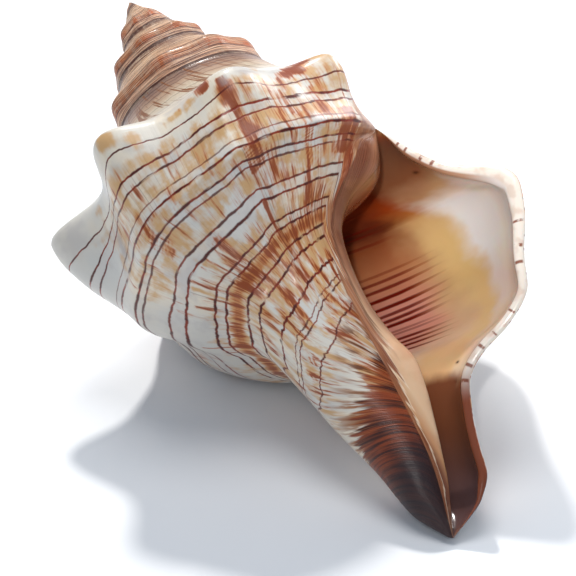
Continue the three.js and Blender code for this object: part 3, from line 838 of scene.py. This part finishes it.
outsideLook = {
    "cream": (232, 218, 196),
    "greyWhite": (214, 210, 202),
    "lobe": (196, 193, 186),
    "mottle": (186, 178, 174),
    "pairTint": (200, 188, 184),
    "ochre": (206, 156, 92),
    "orange": (192, 104, 40),
    "rust": (136, 54, 16),
    "hair": (132, 92, 66),
    "grey": (150, 130, 126),
    "rampMark": (140, 88, 50),
    "rampLine": (84, 50, 38),
    "knobRust": (196, 98, 46),
    "rib": (206, 178, 152),
    "cord": (112, 58, 34),
    "darkCord": (84, 44, 30),
    "paleCord": (236, 206, 174),
    "spireLine": (64, 34, 28),
    "reach": (158, 98, 50),
    "darkReach": (92, 46, 26),
    "canal": (136, 60, 28),
    "canalDark": (62, 24, 16),
    "canalTan": (184, 108, 56),
    "tip": (46, 34, 36),
    "wash": (134, 72, 40),
    "paleWash": (176, 116, 76),
    "line": (80, 20, 8),
    "lineRed": (138, 46, 18),
    # the two lines of each pair
    "pairs": [(0.286, 0.309), (0.361, 0.387), (0.436, 0.459), (0.523, 0.553), (0.615, 0.64)],
    # the colours down the ramp below the seam and down a whorl of the spire; the dark brown at the seam is
    # partly the shell's own brown and partly painted shade in the seam's groove
    "ramp": [
        (0, (104, 62, 44)), (0.14, (140, 92, 62)), (0.28, (180, 140, 106)), (0.46, (206, 184, 154)),
        (0.8, (216, 208, 196)),
    ],
    "spire": [
        (0, (84, 50, 38)), (0.07, (140, 100, 76)), (0.16, (218, 176, 140)), (0.3, (214, 170, 132)),
        (0.45, (224, 174, 134)), (0.58, (200, 130, 84)), (0.72, (186, 116, 76)), (0.8, (222, 172, 138)),
        (0.9, (206, 152, 118)), (0.95, (110, 64, 46)), (1, (66, 38, 30)),
    ],
    # at, half width in millimetres and strength of each thin line
    "rampLines": [
        (0.012, 0.18, 0.9), (0.022, 0.12, 0.7), (0.034, 0.14, 0.8), (0.052, 0.12, 0.6), (0.078, 0.12, 0.6),
        (0.105, 0.1, 0.5), (0.13, 0.1, 0.5),
    ],
    "spireLines": [(0.205, 0.12, 0.6), (0.3, 0.14, 0.8), (0.345, 0.1, 0.6), (0.378, 0.14, 0.9)],
    # where the brown end begins, over the first half turn
    "brownFrom": [(0, 0.89), (0.2, 0.896), (0.4, 0.902), (0.6, 0.903), (0.8, 0.908), (1, 0.914)],
}


def paintOutside(turn, at, objectAt, growth, acrossMm, lineAt):
    look = outsideLook
    cloud = noise(objectAt, 60, 3)
    paleBands = between(grainOf(growth, at, 34, 1.5, 1), 0.4, 0.6)
    lobe = between(turn, 0.36, 0.42) * between(at, 0.66, 0.6)
    mottle = between(grainOf(growth, at, 26, 14, 3), 0.5, 0.66)
    pairs = most(*[
        band(lineAt, low - 0.002, low + 0.004, high - 0.004, high + 0.002) for low, high in look["pairs"]
    ])
    paint = layers(
        look["cream"],
        (between(cloud, 0.38, 0.66), look["greyWhite"]),
        (paleBands * 0.5, look["greyWhite"]),
        (lobe * 0.55, look["lobe"]),
        (mottle * 0.45, look["mottle"]),
        (pairs * 0.2, look["pairTint"]),
    )

    # ochre blotches and orange and rust streaks
    lowDown = between(at, 0.68, 0.76)
    mixed = grainOf(growth, lineAt, 40, 20, 5) * 0.55 + grainOf(growth, lineAt, 96, 9, 9) * 0.45
    mixed = partWay(lowDown, mixed, grainOf(growth, at, 40, 16, 47))
    coarse = grainOf(growth, lineAt, 66, 9, 15) * 0.45 + grainOf(growth, lineAt, 210, 8, 13) * 0.55
    coarse = partWay(lowDown, coarse, grainOf(growth, at, 62, 17, 49))
    ochreStain = attribute("ochre") * (1 - pairs * 0.25)
    rustStain = attribute("rust") * (1 - pairs * 0.15)
    hair = between(grainOf(growth, lineAt, 420, 4, 19), 0.58, 0.68) * between(attribute("rust"), 0.2, 0.5)
    paint = layers(
        paint,
        (useGroup(patches, stain=ochreStain, grain=mixed, soft=0.1) * 0.85, look["ochre"]),
        (useGroup(patches, stain=rustStain, grain=coarse, soft=0.07) * 0.8, look["orange"]),
        (useGroup(patches, stain=rustStain * 0.78, grain=coarse, soft=0.05) * 0.85, look["rust"]),
        (hair * 0.45, look["hair"]),
        (useGroup(patches, stain=attribute("grey"), grain=cloud, soft=0.12) * 0.75, look["grey"]),
    )

    along = noiseAt(turn * 70, at * 8, 0, 2)
    wobble = (noiseAt(growth * 60, at * 4, 7, 3) - 0.5) * 0.012
    swayed = lineAt + wobble
    widen = between(along, 0.28, 0.72, 0.72, 1.38, "LINEAR")

    # the ramp below the seam: brown at the seam, partly painted shade in its groove, curved tan growth marks
    # and thin spiral lines
    ramp = between(at, 0.15, 0.09)
    rampWave = noiseAt(turn * 18, at * 50, 27, 4, 0.6)
    rampMarks = between(grainOf(growth + at * 0.45, at, 105, 7, 17), 0.52, 0.58)
    markShare = between(turn, 0.1, 0.16, 0.4, 1) * between(turn, 0.28, 0.36, 1, 0.35)
    rampLines = linesOf(swayed, acrossMm, look["rampLines"], widen)
    paint = layers(
        paint,
        (ramp * 0.85, stops(at * 6 + (rampWave - 0.5) * 0.35, look["ramp"])),
        (ramp * rampMarks * markShare, look["rampMark"]),
        (rampLines * between(turn, 0.3, 0.45, 0.8, 0.4), look["rampLine"]),
    )

    # the spire: brown and pink ramps, darkest at the seams with partly painted shade there, rust knobs and
    # dark broken cords
    onSpire = between(turn, -0.42, -0.16, 1, 0)
    knob = attribute("knob")
    wave = noiseAt(turn * 16, at * 26, 0, 4, 0.6)
    ribMarks = between(grainOf(turn, at, 46, 3, 41), 0.5, 0.6)
    cordMarks = between(noiseAt(turn * 13, at * 120, 4, 3, 0.6), 0.48, 0.62)
    fineCords = noiseAt(turn * 9, (at + knob * 0.018) * 150, 14, 2)
    spirePaint = layers(
        stops(at * 2.5 + (wave - 0.5) * 0.22, look["spire"]),
        (between(knob, 0.15, 0.7, 0, 0.9) * between(wave, 0.3, 0.55, 0.5, 1), look["knobRust"]),
        (ribMarks * 0.35, look["rib"]),
        (cordMarks * 0.5, look["cord"]),
        (between(fineCords, 0.54, 0.6, 0, 0.85), look["darkCord"]),
        (between(fineCords, 0.44, 0.38, 0, 0.6), look["paleCord"]),
    )
    spireLines = linesOf(at + wobble, acrossMm, look["spireLines"], widen) * onSpire
    paint = layers(paint, (onSpire, spirePaint), (spireLines * 0.85, look["spireLine"]))

    # dark brown towards the canal, with thin streaks that reach out along the growth lines
    fray = (grainOf(growth, at, 48, 9, 2) - 0.5) * 0.07
    pastEdge = at + fray - stops(between(turn, 0, 0.5, kind="LINEAR"), look["brownFrom"])
    brown = between(pastEdge, -0.004, 0.006)
    reachGrain = grainOf(growth, at, 50, 24, 6)
    reaching = between(pastEdge, between(turn, 0.1, 0.26, -0.075, -0.04), 0)
    darkReach = reaching * between(reachGrain, 0.53, 0.6) * between(turn, 0.3, 0.16)
    canalFine = between(grainOf(growth, at, 110, 14, 23), 0.45, 0.66)
    canalPaint = layers(
        look["canal"],
        (between(grainOf(growth, at, 38, 18, 21), 0.4, 0.62), look["canalDark"]),
        (canalFine * between(at, 0.93, 0.9, 0.1, 0.7), look["canalTan"]),
        (between(at, 0.935, 0.968, 0, 0.9), look["tip"]),
    )

    # a brown wash along the callus, from the shoulder down to the canal
    washGrain = noiseAt(turn * 60, at * 24, 33, 4, 0.6)
    washTo = between(at, 0.45, 0.6, 0.012, 0.034) + between(at, 0.72, 0.8, 0, 0.022)
    pastWash = turn - (washTo + (washGrain - 0.5) * 0.05)
    wash = between(pastWash, -0.003, 0.004, 1, 0) * between(at, 0.3, 0.38) * between(turn, -0.06, -0.04)

    # the dark spiral lines, thin and broken here and there
    lines = linesOf(swayed, acrossMm, [line[:3] for line in linePaths], widen)
    lines = lines * between(noiseAt(turn * 30, lineAt * 40, 11, 2), 0.3, 0.42, 0.15, 1)
    lines = lines * between(brown, 0.2, 0.8, 1, 0) * between(turn, -0.02, 0)
    lines = lines * between(wash, 0.2, 0.8, 1, 0.35)
    paint = layers(
        paint,
        (reaching * between(reachGrain, 0.46, 0.56) * 0.9, look["reach"]),
        (darkReach * 0.85, look["darkReach"]),
        (brown, canalPaint),
        (wash * 0.9, blend(between(washGrain, 0.35, 0.65), look["wash"], look["paleWash"])),
        (lines, blend(between(along, 0.38, 0.6), look["lineRed"], look["line"])),
    )

    # relief: growth lines, the cords of the spire, and each line a little sunk
    wrinkles = grainOf(growth, at, 170, 2, 31) * between(brown, 0, 1, 0.45, 1.2)
    cords = noiseAt(turn * 6, at * 90, 8, 2) * between(onSpire, 0, 1, 0.12, 2)
    return paint, wrinkles + cords - lines * 0.15, brown, onSpire


mouthLook = {
    "ochre": (248, 216, 146),
    "patch": (250, 206, 152),
    "speck": (50, 28, 20),
    "canalBrown": (130, 78, 52),
    "canalDark": (96, 70, 68),
    # grey tint and painted shade for the strip behind the rim
    "stripGreyAndShade": (186, 170, 162),
    "stripTopGreyAndShade": (150, 108, 84),
    "thread": (116, 26, 14),
    "threadEnd": (150, 74, 26),
    "callusCloud": (190, 134, 98),
    # a painted highlight along the callus's raised edge
    "paintedEdgeHighlight": (236, 214, 186),
    "edgeDark": (104, 58, 38),
    "rim": (216, 206, 195),
    "rimLow": (128, 68, 44),
    "rimCloud": (190, 164, 146),
    "lineEnd": (118, 58, 34),
    # maroon above, tan, then pink, then cream
    "deep": [
        (0, (112, 46, 24)), (0.1, (128, 56, 30)), (0.17, (96, 38, 22)), (0.215, (146, 80, 46)),
        (0.27, (190, 122, 82)), (0.36, (228, 158, 140)), (0.52, (228, 158, 140)), (0.6, (246, 220, 190)),
    ],
    # brown above, an orange streak, tan, then peach
    "halfway": [
        (0, (96, 44, 24)), (0.07, (112, 48, 24)), (0.13, (176, 72, 20)), (0.17, (196, 124, 64)),
        (0.22, (216, 176, 124)), (0.36, (216, 176, 124)), (0.56, (250, 218, 180)), (0.66, (250, 206, 152)),
    ],
    # brown above, then white that is partly a painted highlight on the glaze, then lavender and cream
    "outer": [
        (0, (150, 104, 78)), (0.08, (160, 104, 70)), (0.13, (204, 160, 122)), (0.18, (252, 250, 246)),
        (0.33, (252, 250, 246)), (0.42, (242, 228, 218)), (0.5, (242, 228, 218)), (0.58, (246, 220, 190)),
    ],
    # brown above, peach and cream down beside the canal
    "callus": [
        (0, (140, 88, 62)), (0.2, (160, 108, 80)), (0.3, (128, 74, 50)), (0.5, (132, 80, 56)),
        (0.62, (170, 122, 94)), (0.72, (214, 176, 142)), (0.86, (222, 186, 150)), (0.925, (198, 146, 104)),
        (0.955, (130, 80, 56)), (1, (70, 46, 42)),
    ],
    # how far out the callus reaches
    "callusTo": [
        (0.4, 0.8), (0.55, 0.72), (0.66, 0.74), (0.76, 0.74), (0.86, 0.76), (0.94, 0.85), (0.97, 0.7),
    ],
    # turn, at, half width in turns, half height and strength of each spot
    "patchSpots": [(0.9, 0.665, 0.045, 0.045, 0.85)],
    "specks": [(0.922, 0.687, 0.005, 0.004, 1), (0.915, 0.083, 0.006, 0.004, 0.9)],
    # at, half width in millimetres and strength of each thread
    "threads": [
        (0.265, 0.22, 0.5), (0.278, 0.24, 0.8), (0.293, 0.26, 0.9), (0.315, 0.3, 1), (0.341, 0.3, 1),
        (0.365, 0.28, 0.9), (0.384, 0.28, 0.95), (0.402, 0.3, 1), (0.428, 0.22, 0.5), (0.44, 0.22, 0.5),
        (0.465, 0.3, 0.95), (0.488, 0.3, 0.95), (0.512, 0.34, 1), (0.541, 0.3, 0.9),
    ],
    "upperThreads": [(0.108, 0.3, 0.5), (0.155, 0.45, 0.8), (0.176, 0.4, 0.7), (0.212, 0.35, 0.6)],
    # where dark lines end on the lip's rim
    "lineEnds": [0.037, 0.05, 0.073, 0.09, 0.329, 0.378, 0.411, 0.531, 0.594, 0.634, 0.69, 0.73],
}


def paintMouth(turn, at, objectAt, fold, acrossMm):
    look = mouthLook
    drift = noiseAt(turn * 16, at * 12, 1, 3)
    softly = (drift - 0.5) * 0.06
    softTurn, softAt = turn + softly, at + softly

    # an ochre band before the outer part, and a greyer strip behind the rim, partly grey tint and partly
    # painted shade along the rim's inner edge
    deep, halfway, outer = (stops(softAt, look[name]) for name in ("deep", "halfway", "outer"))
    past = softTurn - between(at, 0.15, 0.6, 0.833, 0.905, "LINEAR")
    yellow = band(past, -0.05, -0.012, -0.004, 0.026) * band(at, 0.16, 0.28, 0.58, 0.66)
    # painted shade along the inside of the rim, over a grey tint
    rimGreyAndShade = between(turn, 0.915, 0.962) * between(at, 0.7, 0.62)
    inner = layers(
        deep,
        (between(softTurn, 0.775, 0.835), halfway),
        # the white band of the outer part is partly a painted highlight
        (between(past, -0.008, 0.026), outer),
        (yellow * 0.6, look["ochre"]),
        (spotsOf(turn, at, look["patchSpots"]), look["patch"]),
        (spotsOf(turn, at, look["specks"]), look["speck"]),
        (between(at + softly * 0.5, 0.7, 0.735), look["canalBrown"]),
        (between(at, 0.8, 0.96), look["canalDark"]),
        (rimGreyAndShade * 0.75, blend(between(at, 0.12, 0.22), look["stripTopGreyAndShade"], look["stripGreyAndShade"])),
    )

    # fine red-brown threads deep in the mouth
    threadAt = at + softly * 0.05
    threadTurn = turn + (noiseAt(0, at * 60, 5, 1) - 0.5) * 0.06
    threads = linesOf(threadAt, acrossMm, look["threads"], between(threadTurn, 0.76, 0.84, 1.7, 0.7))
    threads = threads * between(threadTurn, 0.775, 0.832, 1, 0)
    upperThreads = linesOf(threadAt, acrossMm, look["upperThreads"])
    threads = most(threads, upperThreads * between(threadTurn, 0.765, 0.815, 1, 0))

    callusCloud = between(noise(objectAt, 170, 3), 0.42, 0.62)
    callus = blend(callusCloud * 0.3, stops(at, look["callus"]), look["callusCloud"])

    # the lip's rim: brown and thin at the canal, with the ends of the dark lines
    rim = between(fold - between(at, 0.18, 0.32, 0.62, 0.9), -0.06, 0.08, 1, 0)
    rimCloud = between(noise(objectAt, 320, 2), 0.5, 0.64, 0, 0.5)
    endRows = [(end, 0.28, 0.9) for end in look["lineEnds"]]
    endMarks = linesOf(at, acrossMm, endRows, between(drift, 0.35, 0.65, 0.5, 1.2))
    speckle = between(noise(objectAt, 700, 2), 0.38, 0.5)
    rimPaint = layers(
        look["rim"],
        (between(at, 0.68, 0.78), look["rimLow"]),
        (rimCloud * between(at, 0.74, 0.68), look["rimCloud"]),
        (endMarks * speckle * band(fold, 0.1, 0.3, 0.7, 0.95), look["lineEnd"]),
    )
    paint = layers(
        inner,
        (threads, blend(between(turn, 0.775, 0.81), look["thread"], look["threadEnd"])),
        (between(fold, 1.72, 1.9), callus),
        (rim, rimPaint),
    )
    return paint, noise(objectAt, 260, 2) * 0.2 + threads * 0.5


finish = {
    "shine": 0.36,
    "outsideRoughness": (0.30, 0.44),
    "insideRoughness": (0.14, 0.22),
    "spireRougher": 0.15,
    "coat": 0.16,
    "canalCoat": 0.08,
    "coatRoughness": 0.14,
    "subsurface": 0.35,
    "lightDepth": 0.003,
    "lightSpread": (1, 0.6, 0.4),
    "bumpStrength": 0.4,
    "bumpDepth": 0.0006,
}


def makeShellMaterial():
    material = bpy.data.materials.new("conchSurface")
    material.use_nodes = True
    tree = drawing["tree"] = material.node_tree
    split = addNode("ShaderNodeSeparateXYZ", {0: Output(addNode("ShaderNodeUVMap", {}, uv_map="whorl"))})
    turn, at = Output(split, 0), Output(split, 1)
    objectAt = Output(addNode("ShaderNodeTexCoord", {}), "Object")
    growth, acrossMm, fold, lineAt = (attribute(name) for name in ("growth", "acrossMm", "fold", "lineAt"))
    outside, outsideHeight, brown, onSpire = paintOutside(turn, at, objectAt, growth, acrossMm, lineAt)
    mouth, mouthHeight = paintMouth(turn, at, objectAt, fold, acrossMm)

    # the callus ends in a ragged edge over the painted outside
    ragged = (noiseAt(at * 60, fold, 3, 4, 0.6) - 0.5) * between(at, 0.6, 0.9, 0.25, 0.6)
    pastCallus = fold - 2 + ragged - stops(at, mouthLook["callusTo"])
    covered = between(pastCallus, -0.03, 0.03, 1, 0)
    isInside = between(fold, 0.02, 0.16) * covered
    onCallus = between(fold, 2, 2.1)
    # a painted highlight along the callus's raised edge beside the canal
    edgeHighlight = band(pastCallus, -0.1, -0.03, 0, 0.04) * between(at, 0.8, 0.86) * onCallus
    darkEdge = band(pastCallus, -0.16, -0.05, 0, 0.03) * band(at, 0.42, 0.48, 0.76, 0.82) * onCallus
    mouth = layers(mouth, (edgeHighlight * 0.7, mouthLook["paintedEdgeHighlight"]), (darkEdge * 0.75, mouthLook["edgeDark"]))

    height = blend(isInside, outsideHeight, mouthHeight) + covered * between(fold, 2, 2.05) * 0.8
    relief = {"Height": height, "Strength": finish["bumpStrength"], "Distance": finish["bumpDepth"]}
    patchy = noise(objectAt, 120, 2)
    rough = between(patchy, 0.3, 0.7, *finish["outsideRoughness"]) + onSpire * finish["spireRougher"]
    glazed = between(patchy, 0.3, 0.7, *finish["insideRoughness"])
    looks = {
        "Base Color": blend(isInside, outside, mouth),
        "Normal": Output(addNode("ShaderNodeBump", relief)),
        "Roughness": rough * (1 - isInside) + glazed * isInside,
        "Coat Weight": between(most(brown, onSpire), 0, 1, finish["coat"], finish["canalCoat"]),
        "Coat Roughness": finish["coatRoughness"],
        "Specular IOR Level": finish["shine"],
        "Subsurface Weight": isInside * finish["subsurface"],
        "Subsurface Scale": finish["lightDepth"],
    }
    shader = tree.nodes["Principled BSDF"]
    for name, value in looks.items():
        join(shader.inputs[name], value)
    shader.inputs["Subsurface Radius"].default_value = finish["lightSpread"]
    return material


# Lengths of the studio and the camera's place in metres
studio = {
    "floorWidth": 3.0,
    "floorColour": (0.93, 0.935, 0.945),
    "floorRoughness": 0.7,
    "worldColour": (0.60, 0.77, 1.0),
    "worldStrength": 0.33,
    # place, width, power and colour of each soft lamp
    "lamps": {
        "keyLamp": ((0.27, 0.74, 0.95), 0.10, 10.0, (1.0, 0.985, 0.96)),
        "topLamp": ((0.02, 0.08, 0.85), 0.45, 2.5, (1.0, 0.99, 0.98)),
        "frontLamp": ((-0.42, -0.52, 0.52), 0.40, 0.95, (1.0, 0.98, 0.95)),
        "sideLamp": ((0.69, 0.28, 0.30), 0.30, 2.8, (0.98, 0.99, 1.0)),
    },
    # a narrow lamp that reaches into the mouth
    "mouthLamp": {
        "place": (-0.33, -0.52, 0.52), "aim": (0.034, -0.009, 0.034), "beam": 6.0,
        "power": 21.5, "width": 0.04, "colour": (1.0, 0.97, 0.93),
    },
}

cameraView = {
    "heading": 28.45,
    "height": 31.58,
    "roll": -2.21,
    "aim": (0.00226, 0.01243, 0.01954),
    "distance": 0.6425,
    "sensor": 36,
    "lens": 206.25,
    "shift": (-0.0035, -0.03125),
}


def layFloor():
    floor = newObject("floor", newGrid("floor", 1, 1, studio["floorWidth"] / 2))
    material = bpy.data.materials.new("paleFloor")
    material.use_nodes = True
    shader = material.node_tree.nodes["Principled BSDF"]
    shader.inputs["Base Color"].default_value = (*studio["floorColour"], 1)
    shader.inputs["Roughness"].default_value = studio["floorRoughness"]
    floor.data.materials.append(material)


def hangLamp(light, place, aim=(0, 0, 0)):
    lamp = newObject(light.name, light)
    lamp.location = place
    lamp.rotation_mode = "QUATERNION"
    lamp.rotation_quaternion = (Vector(aim) - lamp.location).to_track_quat("-Z", "Y")


def setLights():
    world = bpy.context.scene.world or bpy.data.worlds.new("studio")
    bpy.context.scene.world = world
    world.use_nodes = True
    backdrop = world.node_tree.nodes["Background"]
    backdrop.inputs[0].default_value = (*studio["worldColour"], 1)
    backdrop.inputs[1].default_value = studio["worldStrength"]
    for name, (place, width, power, colour) in studio["lamps"].items():
        light = bpy.data.lights.new(name, "AREA")
        light.shape, light.size, light.energy, light.color = "DISK", width, power, colour
        hangLamp(light, place)
    narrow = studio["mouthLamp"]
    light = bpy.data.lights.new("mouthLamp", "SPOT")
    light.energy, light.color, light.shadow_soft_size = narrow["power"], narrow["colour"], narrow["width"] / 2
    light.spot_size, light.spot_blend = math.radians(narrow["beam"]), 1
    hangLamp(light, narrow["place"], narrow["aim"])


def setCamera():
    view = cameraView
    heading, height, roll = (math.radians(view[name]) for name in ("heading", "height", "roll"))
    level = math.cos(height)
    forward = Vector((math.sin(heading) * level, math.cos(heading) * level, -math.sin(height)))
    right = forward.cross(Vector((0, 0, 1))).normalized()
    up = right.cross(forward)
    right, up = right * math.cos(roll) + up * math.sin(roll), up * math.cos(roll) - right * math.sin(roll)
    data = bpy.data.cameras.new("camera")
    data.sensor_width, data.lens = view["sensor"], view["lens"]
    data.shift_x, data.shift_y = view["shift"]
    camera = newObject("camera", data)
    turned = Matrix((right, up, -forward)).transposed().to_4x4()
    camera.matrix_world = Matrix.Translation(Vector(view["aim"]) - forward * view["distance"]) @ turned
    bpy.context.scene.camera = camera


shell = makeShell()
shell.data.materials.append(makeShellMaterial())
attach(shell, "root")
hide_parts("shell")
print("shell painted")
layFloor()
setLights()
setCamera()
bpy.context.scene.view_settings.view_transform = "Standard"
print("studio set")
